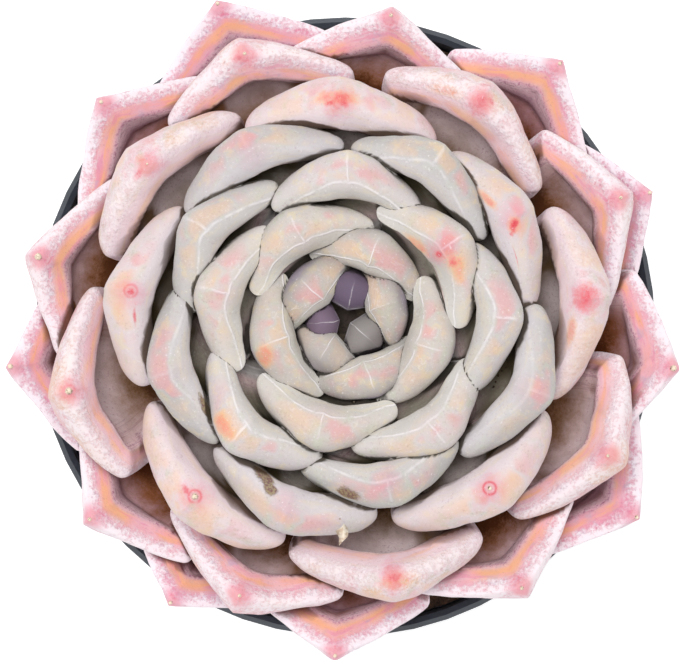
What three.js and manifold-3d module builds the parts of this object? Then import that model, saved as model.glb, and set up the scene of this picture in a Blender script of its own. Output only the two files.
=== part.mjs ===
// Potted white bottle echeveria: a rosette of 52 thick leaves on a short stem, in soil, in a round
// plastic nursery pot. Millimetres, +Z up. The origin is the middle of the pot's underside.
// Azimuths are in degrees, counterclockwise seen from above, from +X. Leaves are numbered outward
// from the heart, which is also from the youngest to the oldest.
import * as THREE from 'three';
import { mergeVertices } from 'three/addons/utils/BufferGeometryUtils.js';
import Module from 'manifold-3d';

const wasm = await Module();
wasm.setup();

const GAP = 0.35;

// The pot: its outer sizes, its wall and the drain holes round its floor.
const POT_HEIGHT = 85;
const RIM_RADIUS = 48.5;
const RIM_BAND = 11;
const RIM_STEP = 2;
const BASE_RADIUS = 35;
const POT_WALL = 1.6;
const POT_FLOOR = 2.2;
const DRAIN_HOLES = 6;
const DRAIN_RADIUS = 4;
const DRAIN_CIRCLE = 23;
const DRAIN_SIDES = 16;
const FOOT_BEVEL = 1;
const SHOULDER_BEVEL = 0.5;
const LIP_FALL = 0.8;

// The soil's level below the rim, and the stem's hole in it.
const SOIL_BELOW_RIM = 6;
const STEM_RADIUS = 8;
const STEM_DEPTH = 28;
const SOIL_TOP = POT_HEIGHT - SOIL_BELOW_RIM;

// The spiral of the leaves.
const LEAF_COUNT = 52;
const TURN_PER_LEAF = 138.16;
const FIRST_AZIMUTH = 177;
const LOWEST_LEAF = POT_HEIGHT + 5;
const RISE_PER_LEAF = 0.5;

// Leaf form at a few leaf numbers; the leaves between them are interpolated. Angles are those of
// the midrib above the horizontal. Tip heights are above the lowest leaf's seat.
const LEAF_FORM = {
  number: [0, 2, 5, 8, 12, 16, 20, 24, 28, 32, 36, 40, 44, 48, 51],
  tipRadius: [0.8, 1.3, 3.4, 8.1, 15.8, 20.6, 25, 28.4, 32, 37.2, 42.2, 46, 49, 51, 50.4],
  tipHeight: [30, 30.6, 32.4, 34.4, 36.2, 37, 36.8, 35.6, 33, 30, 26.5, 22.5, 18.5, 15, 13],
  seatAngle: [60, 58, 52, 48, 40, 30, 18, 10, 4, 0, -4, -6, -8, -10, -10],
  tipAngle: [170, 168, 158, 143, 121, 102, 95, 92, 92, 90, 84, 75, 66, 60, 56],
  tipPull: [0.6, 0.6, 0.5, 0.42, 0.4, 0.48, 0.55, 0.58, 0.58, 0.54, 0.44, 0.38, 0.35, 0.35, 0.35],
  width: [7.2, 8.6, 14.5, 19, 21.5, 22.2, 23.5, 25.5, 28, 28.5, 28.5, 28, 28, 28, 28],
  thickness: [4, 4.8, 5.8, 6.8, 7.1, 6.9, 6.6, 6.9, 7.8, 7.4, 7.8, 8, 7.8, 7.6, 7.4],
  bevelRise: [0.4, 0.6, 1.2, 2.2, 2.9, 2.6, 3, 3.2, 3.2, 3.2, 3, 2.8, 2.7, 2.6, 2.5],
  bevelWidth: [0.8, 1, 1.4, 2, 2.6, 3, 3.2, 3.4, 3.5, 3.6, 3.6, 3.6, 3.6, 3.6, 3.6],
  facet: [0, 0, 0, 0, 0, 0, 0.1, 0.2, 0.3, 0.4, 0.6, 0.7, 0.7, 0.7, 0.7],
  edge: [3, 3.6, 4, 3.6, 3.2, 3, 3, 3.2, 3.6, 4.6, 8, 12, 15, 16, 16],
  backRound: [0.3, 0.3, 0.4, 0.45, 0.5, 0.5, 0.5, 0.45, 0.4, 0.4, 0.4, 0.45, 0.45, 0.45, 0.45],
  cup: [0.1, 0.15, 0.25, 0.42, 0.5, 0.52, 0.5, 0.45, 0.4, 0.38, 0.36, 0.32, 0.28, 0.25, 0.25],
  keelRound: [0.2, 0.2, 0.2, 0.2, 0.22, 0.24, 0.26, 0.28, 0.32, 0.3, 0.22, 0.16, 0.13, 0.12, 0.12],
  widest: [0.62, 0.62, 0.65, 0.68, 0.72, 0.74, 0.76, 0.78, 0.78, 0.78, 0.77, 0.77, 0.77, 0.77, 0.77],
  tipPower: [2, 2, 1.9, 1.9, 2, 1.9, 1.9, 1.8, 1.7, 1.6, 1.4, 1.25, 1.2, 1.2, 1.2],
  hollow: [0, 0, 0, 0, 0.2, 0.4, 0.8, 1.4, 2.2, 3, 3.4, 3.4, 3.3, 3.2, 3],
  skew: [0, 0, 0, 0, 1, 3, 4, 5, 5, 5, 5, 4, 3, 2, 2],
};

// Leaves that stand off the spiral in the photo: degrees sideways, and millimetres further out.
const TURNED = {
  0: 11, 1: 6, 2: -14, 3: 5, 4: 10, 5: -10, 6: 6, 7: 3, 8: -4, 13: -5, 14: -3, 17: -6, 18: 4,
  19: 2, 21: -2, 22: 2, 23: 5, 26: 3.5, 27: 3, 28: 6, 29: 6, 30: 3, 31: 2, 32: 2, 33: 2, 38: -3,
  39: 3, 42: -2, 43: -6, 44: 2, 45: -6, 46: -2, 47: -3, 48: -2.5, 49: 5, 50: -7,
};
const REACH = {
  1: -0.3, 3: 0.5, 4: 0.4, 6: 0.9, 7: 0.9, 9: 0.3, 10: 0.3, 12: 0.7, 14: 0.7, 17: -0.6, 18: 0.4,
  22: 1.3, 25: -1.5, 26: 0.7, 27: 0.7, 28: -1.2, 31: 0.6, 32: 0.6, 33: -1, 34: 1.8, 35: 2,
  36: -0.6, 39: 1.1, 40: 0.9, 41: -1, 43: 0.8, 48: 1.4, 49: 0.8, 50: -1.2, 51: -0.5,
};

const radians = (degrees) => degrees * Math.PI / 180;

function valueAt(key, n) {
  const numbers = LEAF_FORM.number;
  const values = LEAF_FORM[key];
  let i = 1;
  while (i < numbers.length - 1 && n > numbers[i]) i += 1;
  const share = (n - numbers[i - 1]) / (numbers[i] - numbers[i - 1]);
  return values[i - 1] + (values[i] - values[i - 1]) * share;
}

// Where a leaf is seated: on the stem's side, or on the dome at its top for the inner leaves.
const DOME_LEAVES = 24;
const DOME_BASE = LOWEST_LEAF + (LEAF_COUNT - DOME_LEAVES) * RISE_PER_LEAF;
const DOME_HEIGHT = 12;
const DOME_TOP_TURN = 68;
const SEAT_CLEARANCE = 0.8;

function leafSeat(n, seatAngle) {
  const turn = radians(DOME_TOP_TURN * Math.max(DOME_LEAVES - n, 0) / DOME_LEAVES);
  const below = Math.min(DOME_LEAVES - n, 0) * RISE_PER_LEAF;
  const slope = radians(seatAngle);
  return new THREE.Vector2(
    STEM_RADIUS * Math.cos(turn) + SEAT_CLEARANCE * Math.cos(slope),
    DOME_BASE + DOME_HEIGHT * Math.sin(turn) + below + SEAT_CLEARANCE * Math.sin(slope),
  );
}

// The midrib of a leaf is a curve in an upright plane, from its seat to its tip. Its stations hold
// the distance u from the axis, the height z and the slope, in equal steps along the curve.
const STATIONS = 48;
const SEAT_PULL = 0.45;

function midrib(form, n) {
  const seat = leafSeat(n, form.seatAngle);
  const tip = new THREE.Vector2(form.tipRadius, LOWEST_LEAF + form.tipHeight);
  const span = seat.distanceTo(tip);
  const start = radians(form.seatAngle);
  const end = radians(form.tipAngle);
  const curve = new THREE.CubicBezierCurve(
    seat,
    new THREE.Vector2(Math.cos(start), Math.sin(start)).multiplyScalar(SEAT_PULL * span).add(seat),
    new THREE.Vector2(Math.cos(end), Math.sin(end)).multiplyScalar(-form.tipPull * span).add(tip),
    tip,
  );
  form.length = curve.getLength();
  return curve.getSpacedPoints(STATIONS).map((point, i) => {
    const ahead = curve.getTangentAt(i / STATIONS);
    return { u: point.x, z: point.y, slope: Math.atan2(ahead.y, ahead.x) };
  });
}

function stationAt(leaf, share) {
  const place = Math.min(Math.max(share, 0), 1) * STATIONS;
  const i = Math.min(Math.floor(place), STATIONS - 1);
  const a = leaf.stations[i];
  const b = leaf.stations[i + 1];
  const t = place - i;
  return {
    u: a.u + (b.u - a.u) * t,
    z: a.z + (b.z - a.z) * t,
    slope: a.slope + (b.slope - a.slope) * t,
  };
}

// Half the width of a leaf: narrow at the base, widest near the top, and a blunt point.
const MOST_BASE = 2.6;
const LEAST_BASE = 0.4;
const BASE_TAPER = 0.25;
const FLANK_POWER = 1.8;

function halfWidth(form, share) {
  const half = form.width / 2;
  const base = Math.min(MOST_BASE, LEAST_BASE + BASE_TAPER * half);
  if (share < form.widest) {
    const rise = Math.sin(share / form.widest * Math.PI / 2) ** FLANK_POWER;
    return base + (half - base) * rise;
  }
  const up = Math.min((share - form.widest) / (1 - form.widest), 1);
  return half * (1 - up ** form.tipPower);
}

// Heights of the inner and outer face above the midrib's line, before the leaves press each other.
// Both faces round up from the margin, the inner one over the bevel's width and the back over the
// edge's. Inside the bevel the inner face is hollow. The back thins towards its sides.
const BASE_THINNESS = 0.36;
const THICKENING = 0.85;
const TAPER_STEP = 0.01;
const BACK_POWER = 1.5;
const HOLLOW_REACH = 1.8;

const within = (share) => Math.min(Math.max(share, 0), 1);
const roundUp = (share) => Math.sqrt(1 - (1 - within(share)) ** 2);

function faceHeights(form, share, x) {
  const half = halfWidth(form, share);
  const lower = Math.max(share - TAPER_STEP, 0);
  const upper = Math.min(share + TAPER_STEP, 1);
  const taper = (halfWidth(form, upper) - halfWidth(form, lower)) / ((upper - lower) * form.length);
  const fromMargin = (half - Math.abs(x)) / Math.hypot(1, taper);
  const bevel = fromMargin / form.bevelWidth;
  const across = half > 0 ? Math.min(Math.abs(x) / half, 1) : 0;
  const thin = Math.min(BASE_THINNESS + THICKENING * share, 1);
  const round = form.keelRound * form.width;
  const middle = form.cup * (Math.hypot(x, round) - round);
  const inside = within((bevel - 1) / HOLLOW_REACH);
  const hollow = form.hollow * thin * inside * inside * (3 - 2 * inside);
  const rise = form.facet * within(bevel) + (1 - form.facet) * roundUp(bevel);
  const back = roundUp(fromMargin / form.edge) * (1 - form.backRound * across ** BACK_POWER);
  const inner = form.bevelRise * thin * rise;
  const outer = (form.thickness - form.bevelRise) * thin * back;
  return { inner: middle + inner - hollow, outer: middle - outer };
}

// The grid on which a leaf's two faces are worked out; the solids use every second line of it.
const ROWS = 18;
const COLUMNS = 12;

const ROW_POWER = 1.5;
const rowShare = (i) => 1 - (1 - i / ROWS) ** ROW_POWER;
const columnShare = (j) => Math.sin((2 * j / COLUMNS - 1) * Math.PI / 2);

function makeLeaf(n) {
  const form = {};
  for (const key of Object.keys(LEAF_FORM)) form[key] = valueAt(key, n);
  form.azimuth = FIRST_AZIMUTH + TURN_PER_LEAF * n + (TURNED[n] ?? 0);
  form.tipRadius += REACH[n] ?? 0;
  const leaf = { n, form, stations: midrib(form, n), inner: [], outer: [] };
  for (let i = 0; i <= ROWS; i += 1) {
    const share = rowShare(i);
    const half = halfWidth(form, share);
    leaf.inner.push([]);
    leaf.outer.push([]);
    for (let j = 0; j <= COLUMNS; j += 1) {
      const heights = faceHeights(form, share, half * columnShare(j));
      leaf.inner[i].push(heights.inner);
      leaf.outer[i].push(heights.outer);
    }
  }
  return leaf;
}

// A point of a leaf, from its place along and across the leaf and its height above the midrib.
function leafPoint(leaf, share, x, height) {
  const { u, z, slope } = stationAt(leaf, share);
  const skew = Math.tan(radians(leaf.form.skew));
  const out = u - height * Math.sin(slope) + x * skew;
  const turn = radians(leaf.form.azimuth);
  return new THREE.Vector3(
    out * Math.cos(turn) - x * Math.sin(turn),
    out * Math.sin(turn) + x * Math.cos(turn),
    z + height * Math.cos(slope),
  );
}

// The reverse: where a point lies in a leaf's own terms.
function leafPlace(leaf, point) {
  const turn = radians(leaf.form.azimuth);
  const x = -point.x * Math.sin(turn) + point.y * Math.cos(turn);
  const along = point.x * Math.cos(turn) + point.y * Math.sin(turn);
  const u = along - x * Math.tan(radians(leaf.form.skew));
  let best = 0;
  let nearest = Infinity;
  leaf.stations.forEach((station, i) => {
    const distance = Math.hypot(u - station.u, point.z - station.z);
    if (distance < nearest) {
      nearest = distance;
      best = i;
    }
  });
  const { u: su, z: sz, slope } = leaf.stations[best];
  const ahead = (u - su) * Math.cos(slope) + (point.z - sz) * Math.sin(slope);
  const height = -(u - su) * Math.sin(slope) + (point.z - sz) * Math.cos(slope);
  return { x, share: best / STATIONS + ahead / leaf.form.length, height };
}

// The height of a leaf's outer face at a place, read from its grid.
const TINY = 0.001;

function outerHeight(leaf, share, across) {
  const row = Math.min((1 - (1 - share) ** (1 / ROW_POWER)) * ROWS, ROWS - TINY);
  const column = Math.min((Math.asin(across) * 2 / Math.PI + 1) * COLUMNS / 2, COLUMNS - TINY);
  const i = Math.floor(row);
  const j = Math.floor(column);
  const a = row - i;
  const b = column - j;
  const near = leaf.outer[i][j] * (1 - b) + leaf.outer[i][j + 1] * b;
  const far = leaf.outer[i + 1][j] * (1 - b) + leaf.outer[i + 1][j + 1] * b;
  return near * (1 - a) + far * a;
}

// How far a point must move back to clear the outer face of a younger leaf.
const PRESS_GAP = 0.8;
const RELEASE = 4;

function pressDepth(younger, point) {
  const { x, share, height } = leafPlace(younger, point);
  if (share < 0) return 0;
  const inLeaf = Math.min(share, 1 - TINY);
  const half = Math.max(halfWidth(younger.form, inLeaf), TINY);
  const across = Math.min(Math.max(x / half, -1), 1);
  const beyond = Math.max(Math.abs(x) - half, 0) + Math.max(share - 1, 0) * younger.form.length;
  return height - outerHeight(younger, inLeaf, across) + PRESS_GAP - RELEASE * beyond;
}

const turnBetween = (a, b) => Math.abs(((a - b) % 360 + 540) % 360 - 180);

const PRESS_ROUNDS = 4;
const SMOOTH_ROUNDS = 3;
const NEIGHBOURS = 22;
const FACING = 100;
const MOST_PRESS = 1.5;

// A grid of the same size, with each value worked out from those on and next to its place.
function overNeighbours(grid, combine) {
  return grid.map((row, i) => row.map((_, j) => {
    const near = grid.slice(Math.max(i - 1, 0), i + 2);
    return combine(near.flatMap((line) => line.slice(Math.max(j - 1, 0), j + 2)));
  }));
}

// Presses a leaf back from all younger ones, so that it wraps them without touching.
function pressLeaf(leaf, leaves) {
  const younger = leaves.slice(Math.max(leaf.n - NEIGHBOURS, 0), leaf.n)
    .filter((other) => turnBetween(leaf.form.azimuth, other.form.azimuth) < FACING);
  const need = leaf.inner.map((row) => row.map(() => 0));
  for (let i = 0; i <= ROWS; i += 1) {
    const share = rowShare(i);
    for (let j = 0; j <= COLUMNS; j += 1) {
      const x = halfWidth(leaf.form, share) * columnShare(j);
      for (let round = 0; round < PRESS_ROUNDS; round += 1) {
        const point = leafPoint(leaf, share, x, leaf.inner[i][j] - need[i][j]);
        let worst = 0;
        for (const other of younger) {
          const depth = pressDepth(other, point);
          const most = MOST_PRESS * (other.form.thickness + 1);
          if (depth > worst && depth < most) worst = depth;
        }
        need[i][j] += worst;
      }
    }
  }
  // Spreads each dent to its surroundings, and keeps at least the clearance it was made for.
  let shift = overNeighbours(need, (values) => Math.max(...values));
  for (let round = 0; round < SMOOTH_ROUNDS; round += 1) {
    const mean = overNeighbours(shift, (values) => values.reduce((a, b) => a + b) / values.length);
    shift = mean.map((row, i) => row.map((value, j) => Math.max(value, need[i][j])));
  }
  for (let i = 0; i <= ROWS; i += 1) {
    for (let j = 0; j <= COLUMNS; j += 1) {
      leaf.inner[i][j] -= shift[i][j];
      leaf.outer[i][j] -= shift[i][j];
    }
  }
}

const POINT_LENGTH = 0.5;

// The closed skin of a leaf: rings round it from base to tip, a flat base and a small point.
function leafGeometry(leaf) {
  const rings = [];
  for (let i = 0; i < ROWS; i += 2) {
    const share = rowShare(i);
    const half = halfWidth(leaf.form, share);
    const ring = [];
    for (let j = 0; j <= COLUMNS; j += 2) {
      ring.push(leafPoint(leaf, share, half * columnShare(j), leaf.inner[i][j]));
    }
    for (let j = COLUMNS - 2; j > 0; j -= 2) {
      ring.push(leafPoint(leaf, share, half * columnShare(j), leaf.outer[i][j]));
    }
    rings.push(ring);
  }
  const tip = leafPoint(leaf, 1, 0, leaf.inner[ROWS][COLUMNS / 2]);
  const { slope } = stationAt(leaf, 1);
  const turn = radians(leaf.form.azimuth);
  tip.x += POINT_LENGTH * Math.cos(slope) * Math.cos(turn);
  tip.y += POINT_LENGTH * Math.cos(slope) * Math.sin(turn);
  tip.z += POINT_LENGTH * Math.sin(slope);
  const points = rings.flat();
  points.push(tip);
  const around = rings[0].length;
  const faces = [];
  for (let i = 0; i < rings.length - 1; i += 1) {
    for (let k = 0; k < around; k += 1) {
      const next = (k + 1) % around;
      const a = i * around + k;
      const b = i * around + next;
      faces.push(a, a + around, b, b, a + around, b + around);
    }
  }
  const last = (rings.length - 1) * around;
  for (let k = 0; k < around; k += 1) {
    faces.push(last + k, points.length - 1, last + (k + 1) % around);
  }
  const half = around / 2;
  for (let k = 0; k < half - 1; k += 1) {
    faces.push(k, k + 1, around - k - 1);
    if (k > 0) faces.push(k, around - k - 1, around - k);
  }
  faces.push(half - 1, half, half + 1);
  const geometry = new THREE.BufferGeometry().setFromPoints(points);
  geometry.setIndex(faces);
  return geometry;
}

const leaves = [];
for (let n = 0; n < LEAF_COUNT; n += 1) {
  const leaf = makeLeaf(n);
  pressLeaf(leaf, leaves);
  leaves.push(leaf);
}

const LEAF_MATERIAL = new THREE.MeshStandardMaterial({ color: 0xdfc4bd, roughness: 0.7, metalness: 0 });
const STEM_MATERIAL = new THREE.MeshStandardMaterial({ color: 0x8f8461, roughness: 0.85, metalness: 0 });
const SOIL_MATERIAL = new THREE.MeshStandardMaterial({ color: 0x4a3a2c, roughness: 1, metalness: 0 });
const POT_MATERIAL = new THREE.MeshStandardMaterial({ color: 0x3c4148, roughness: 0.5, metalness: 0 });

// The stem: a cylinder under the leaves and in the soil, and a dome that carries the inner leaves.
const STEM_SIDES = 28;
const DOME_STEPS = 7;

function stemGeometry() {
  const profile = [
    new THREE.Vector2(0, SOIL_TOP - STEM_DEPTH),
    new THREE.Vector2(STEM_RADIUS, SOIL_TOP - STEM_DEPTH),
  ];
  for (let i = 0; i <= DOME_STEPS; i += 1) {
    const turn = i / DOME_STEPS * Math.PI / 2;
    const radius = i < DOME_STEPS ? STEM_RADIUS * Math.cos(turn) : 0;
    profile.push(new THREE.Vector2(radius, DOME_BASE + DOME_HEIGHT * Math.sin(turn)));
  }
  return new THREE.LatheGeometry(profile, STEM_SIDES).rotateX(Math.PI / 2);
}

// The pot: a tapered wall under a straight rim band, and a flat floor.
const POT_SIDES = 56;

function bodyRadius(z) {
  const top = RIM_RADIUS - RIM_STEP;
  return BASE_RADIUS + (top - BASE_RADIUS) * z / (POT_HEIGHT - RIM_BAND);
}

function potGeometry() {
  const shoulder = POT_HEIGHT - RIM_BAND;
  const profile = [
    [0, 0],
    [BASE_RADIUS - FOOT_BEVEL, 0],
    [BASE_RADIUS, FOOT_BEVEL],
    [bodyRadius(shoulder), shoulder],
    [RIM_RADIUS - SHOULDER_BEVEL, shoulder],
    [RIM_RADIUS, shoulder + SHOULDER_BEVEL],
    [RIM_RADIUS, POT_HEIGHT - LIP_FALL],
    [RIM_RADIUS - POT_WALL / 2, POT_HEIGHT],
    [RIM_RADIUS - POT_WALL, POT_HEIGHT - LIP_FALL],
    [RIM_RADIUS - POT_WALL, shoulder + POT_WALL],
    [bodyRadius(shoulder) - POT_WALL, shoulder],
    [BASE_RADIUS - POT_WALL, POT_FLOOR],
    [0, POT_FLOOR],
  ].map(([radius, z]) => new THREE.Vector2(radius, z));
  return new THREE.LatheGeometry(profile, POT_SIDES).rotateX(Math.PI / 2);
}

// The soil fills the pot, a little under its wall's inner face, with a plain hole for the stem.
function soilGeometry() {
  const shoulder = POT_HEIGHT - RIM_BAND;
  const bottom = POT_FLOOR + GAP;
  const hole = STEM_RADIUS + GAP;
  const holeFloor = SOIL_TOP - STEM_DEPTH - GAP;
  const profile = [
    [0, bottom],
    [BASE_RADIUS - POT_WALL - GAP, bottom],
    [bodyRadius(shoulder) - POT_WALL - GAP, shoulder + GAP],
    [RIM_RADIUS - POT_WALL - GAP, shoulder + POT_WALL + GAP],
    [RIM_RADIUS - POT_WALL - GAP, SOIL_TOP],
    [hole, SOIL_TOP],
    [hole, holeFloor],
    [0, holeFloor],
  ].map(([radius, z]) => new THREE.Vector2(radius, z));
  return new THREE.LatheGeometry(profile, POT_SIDES).rotateX(Math.PI / 2);
}

// Booleans: a geometry as a solid, and a solid back as a geometry.
function toSolid(geometry) {
  const bare = geometry.clone();
  bare.deleteAttribute('normal');
  bare.deleteAttribute('uv');
  const merged = mergeVertices(bare);
  return new wasm.Manifold(new wasm.Mesh({
    numProp: 3,
    vertProperties: new Float32Array(merged.attributes.position.array),
    triVerts: new Uint32Array(merged.index.array),
  }));
}

function toGeometry(solid) {
  const { vertProperties, triVerts } = solid.getMesh();
  const geometry = new THREE.BufferGeometry();
  geometry.setAttribute('position', new THREE.BufferAttribute(vertProperties, 3));
  geometry.setIndex([...triVerts]);
  return geometry;
}

const DRILL_LENGTH = 4 * POT_FLOOR;

function drainedPot() {
  let pot = toSolid(potGeometry());
  for (let i = 0; i < DRAIN_HOLES; i += 1) {
    const turn = i / DRAIN_HOLES * 2 * Math.PI;
    const drill = new THREE.CylinderGeometry(DRAIN_RADIUS, DRAIN_RADIUS, DRILL_LENGTH, DRAIN_SIDES);
    drill.rotateX(Math.PI / 2);
    drill.translate(DRAIN_CIRCLE * Math.cos(turn), DRAIN_CIRCLE * Math.sin(turn), 0);
    pot = wasm.Manifold.difference(pot, toSolid(drill));
  }
  return toGeometry(pot);
}

function piece(name, geometry, material) {
  if (!geometry.attributes.normal) geometry.computeVertexNormals();
  const mesh = new THREE.Mesh(geometry, material);
  mesh.name = name;
  return mesh;
}

const plant = new THREE.Group();
plant.name = 'potted_white_bottle_echeveria';
plant.add(piece('pot', drainedPot(), POT_MATERIAL));
plant.add(piece('soil', soilGeometry(), SOIL_MATERIAL));
plant.add(piece('stem', stemGeometry(), STEM_MATERIAL));
for (const leaf of leaves) {
  plant.add(piece(`leaf_${String(leaf.n).padStart(2, '0')}`, leafGeometry(leaf), LEAF_MATERIAL));
}

export default plant;
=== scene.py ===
# Potted white bottle echeveria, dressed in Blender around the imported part.
# The leaves follow the laws of the part's own leaves on a finer grid, and stand where the plant's
# leaves do. The part's solids are pressed back from each other, so they reach further out.
import math
import random

import bpy
import numpy as np
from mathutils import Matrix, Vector
from mathutils.bvhtree import BVHTree


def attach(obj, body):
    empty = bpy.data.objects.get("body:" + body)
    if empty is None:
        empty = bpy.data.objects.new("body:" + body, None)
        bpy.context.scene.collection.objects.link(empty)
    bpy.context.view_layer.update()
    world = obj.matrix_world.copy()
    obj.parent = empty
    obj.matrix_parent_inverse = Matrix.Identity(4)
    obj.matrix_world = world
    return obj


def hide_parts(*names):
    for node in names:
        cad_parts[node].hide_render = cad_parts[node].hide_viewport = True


MM = 0.001


def colour(red, green, blue):
    """A screen colour from 0 to 255, as the linear values that a shader takes."""
    linear = [
        part / 12.92 if part <= 0.04045 else ((part + 0.055) / 1.055) ** 2.4
        for part in (red / 255, green / 255, blue / 255)
    ]
    return (*linear, 1)


# The pot, the soil and the stem, in millimetres, as in the part's source.
POT_HEIGHT = 85
RIM_RADIUS = 48.5
SOIL_TOP = POT_HEIGHT - 6
STEM_RADIUS = 8

# The spiral of the leaves.
LEAF_COUNT = 52
TURN_PER_LEAF = 138.16
FIRST_AZIMUTH = 177
LOWEST_LEAF = POT_HEIGHT + 5
RISE_PER_LEAF = 0.5

# Leaf form at a few leaf numbers, as in the part's source. The last three rows are the scene's
# own: the size of the dry point, how red the tip is, and how far behind the margin the fold is.
LEAF_FORM = {
    "number": [0, 2, 5, 8, 12, 16, 20, 24, 28, 32, 36, 40, 44, 48, 51],
    "tip_radius": [0.8, 1.3, 3.4, 8.1, 15.8, 20.6, 25, 28.4, 32, 37.2, 42.2, 46, 49, 51, 50.4],
    "tip_height": [30, 30.6, 32.4, 34.4, 36.2, 37, 36.8, 35.6, 33, 30, 26.5, 22.5, 18.5, 15, 13],
    "seat_angle": [60, 58, 52, 48, 40, 30, 18, 10, 4, 0, -4, -6, -8, -10, -10],
    "tip_angle": [170, 168, 158, 143, 121, 102, 95, 92, 92, 90, 84, 75, 66, 60, 56],
    "width": [7.2, 8.6, 14.5, 19, 21.5, 22.2, 23.5, 25.5, 28, 28.5, 28.5, 28, 28, 28, 28],
    "thickness": [4, 4.8, 5.8, 6.8, 7.1, 6.9, 6.6, 6.9, 7.8, 7.4, 7.8, 8, 7.8, 7.6, 7.4],
    "bevel_rise": [0.4, 0.6, 1.2, 2.2, 2.9, 2.6, 3, 3.2, 3.2, 3.2, 3, 2.8, 2.7, 2.6, 2.5],
    "bevel_width": [0.8, 1, 1.4, 2, 2.6, 3, 3.2, 3.4, 3.5, 3.6, 3.6, 3.6, 3.6, 3.6, 3.6],
    "facet": [0, 0, 0, 0, 0, 0, 0.1, 0.2, 0.3, 0.4, 0.6, 0.7, 0.7, 0.7, 0.7],
    "edge": [3, 3.6, 4, 3.6, 3.2, 3, 3, 3.2, 3.6, 4.6, 8, 12, 15, 16, 16],
    "cup": [0.1, 0.15, 0.25, 0.42, 0.5, 0.52, 0.5, 0.45, 0.4, 0.38, 0.36, 0.32, 0.28, 0.25, 0.25],
    "widest": [0.62, 0.62, 0.65, 0.68, 0.72, 0.74, 0.76, 0.78, 0.78, 0.78, 0.77, 0.77, 0.77, 0.77, 0.77],
    "tip_power": [2, 2, 1.9, 1.9, 2, 1.9, 1.9, 1.8, 1.7, 1.6, 1.4, 1.25, 1.2, 1.2, 1.2],
    "hollow": [0, 0, 0, 0, 0.2, 0.4, 0.8, 1.4, 2.2, 3, 3.4, 3.4, 3.3, 3.2, 3],
    "tip_pull": [0.6, 0.6, 0.5, 0.42, 0.4, 0.48, 0.55, 0.58, 0.58, 0.54, 0.44, 0.38, 0.35, 0.35, 0.35],
    "keel_round": [0.2, 0.2, 0.2, 0.2, 0.22, 0.24, 0.26, 0.28, 0.32, 0.3, 0.22, 0.16, 0.13, 0.12, 0.12],
    "back_round": [0.3, 0.3, 0.4, 0.45, 0.5, 0.5, 0.5, 0.45, 0.4, 0.4, 0.4, 0.45, 0.45, 0.45, 0.45],
    "skew": [0, 0, 0, 0, 1, 3, 4, 5, 5, 5, 5, 4, 3, 2, 2],
    "nub": [0, 0, 0, 0, 0, 0, 0, 0, 0, 0.35, 0.4, 0.45, 0.45, 0.45, 0.45],
    "spot": [0, 0, 0, 0, 0.1, 0, 0, 0.25, 0.7, 0.65, 0.75, 0.75, 0.7, 0.6, 0.6],
    "ridge": [0.3, 0.4, 1.5, 0.5, 0, 0, 0, 0, 0, 0, 0, 0, 0, 0, 0],
}

# Leaves that stand off the spiral: degrees sideways, and millimetres further out.
TURNED = {
    0: 11, 1: 6, 2: -14, 3: 5, 4: 10, 5: -10, 6: 6, 7: 3, 8: -4, 13: -5, 14: -3, 17: -6, 18: 4,
    19: 2, 21: -2, 22: 2, 23: 5, 26: 3.5, 27: 3, 28: 6, 29: 6, 30: 3, 31: 2, 32: 2, 33: 2, 38: -3,
    39: 3, 42: -2, 43: -6, 44: 2, 45: -6, 46: -2, 47: -3, 48: -2.5, 49: 5, 50: -7,
}
REACH = {
    1: -0.3, 3: 0.5, 4: 0.4, 6: 0.9, 7: 0.9, 9: 0.3, 10: 0.3, 12: 0.7, 14: 0.7, 17: -0.6, 18: 0.4,
    22: 1.3, 25: -1.5, 26: 0.7, 27: 0.7, 28: -1.2, 31: 0.6, 32: 0.6, 33: -1, 34: 1.8, 35: 2,
    36: -0.6, 39: 1.1, 40: 0.9, 41: -1, 43: 0.8, 48: 1.4, 49: 0.8, 50: -1.2, 51: -0.5,
}

# Where a leaf is seated: on the dome at the stem's top, or lower down its side.
DOME_LEAVES = 24
DOME_BASE = LOWEST_LEAF + (LEAF_COUNT - DOME_LEAVES) * RISE_PER_LEAF
DOME_HEIGHT = 12
DOME_TOP_TURN = 68
SEAT_CLEARANCE = 0.8

# The midrib: its points, and how far it runs on straight from the seat, as a share of its span.
MIDRIB_SAMPLES = 400
STATIONS = 64
SEAT_PULL = 0.45

# Half the width of a leaf at its base, and the curve of its flanks above.
MOST_BASE = 2.6
LEAST_BASE = 0.4
BASE_TAPER = 0.25
FLANK_POWER = 1.8
TAPER_STEP = 0.01
# How thin a leaf is at its base, as a share, and how fast it thickens along its length.
BASE_THINNESS = 0.36
THICKENING = 0.85
# How the back rounds off across the leaf, and how many bevel widths the wall of the hollow takes.
# The wall is gentler than in the part's source.
BACK_POWER = 1.5
HOLLOW_REACH = 2.8
TINY = 0.001

# The grid of a leaf's faces, closer towards the tip.
ROWS = 60
COLUMNS = 44
ROW_POWER = 1.5

# Low swellings of the leaf skin: wave length and height in millimetres. Each wave is turned from
# the one before, in radians, dips up and down by shares of that turn, and is longer across.
LUMPS = [(11, 0.2), (6, 0.08), (3.2, 0.045), (1.7, 0.02)]
LUMP_TURN = 2.4
LUMP_DIPS = (1.7, 2.3)
LUMP_STRETCH = 1.3
# How much a leaf's own chance turns and shifts its swellings.
CHANCE_TURN = 9
CHANCE_SHIFT = 11

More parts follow.
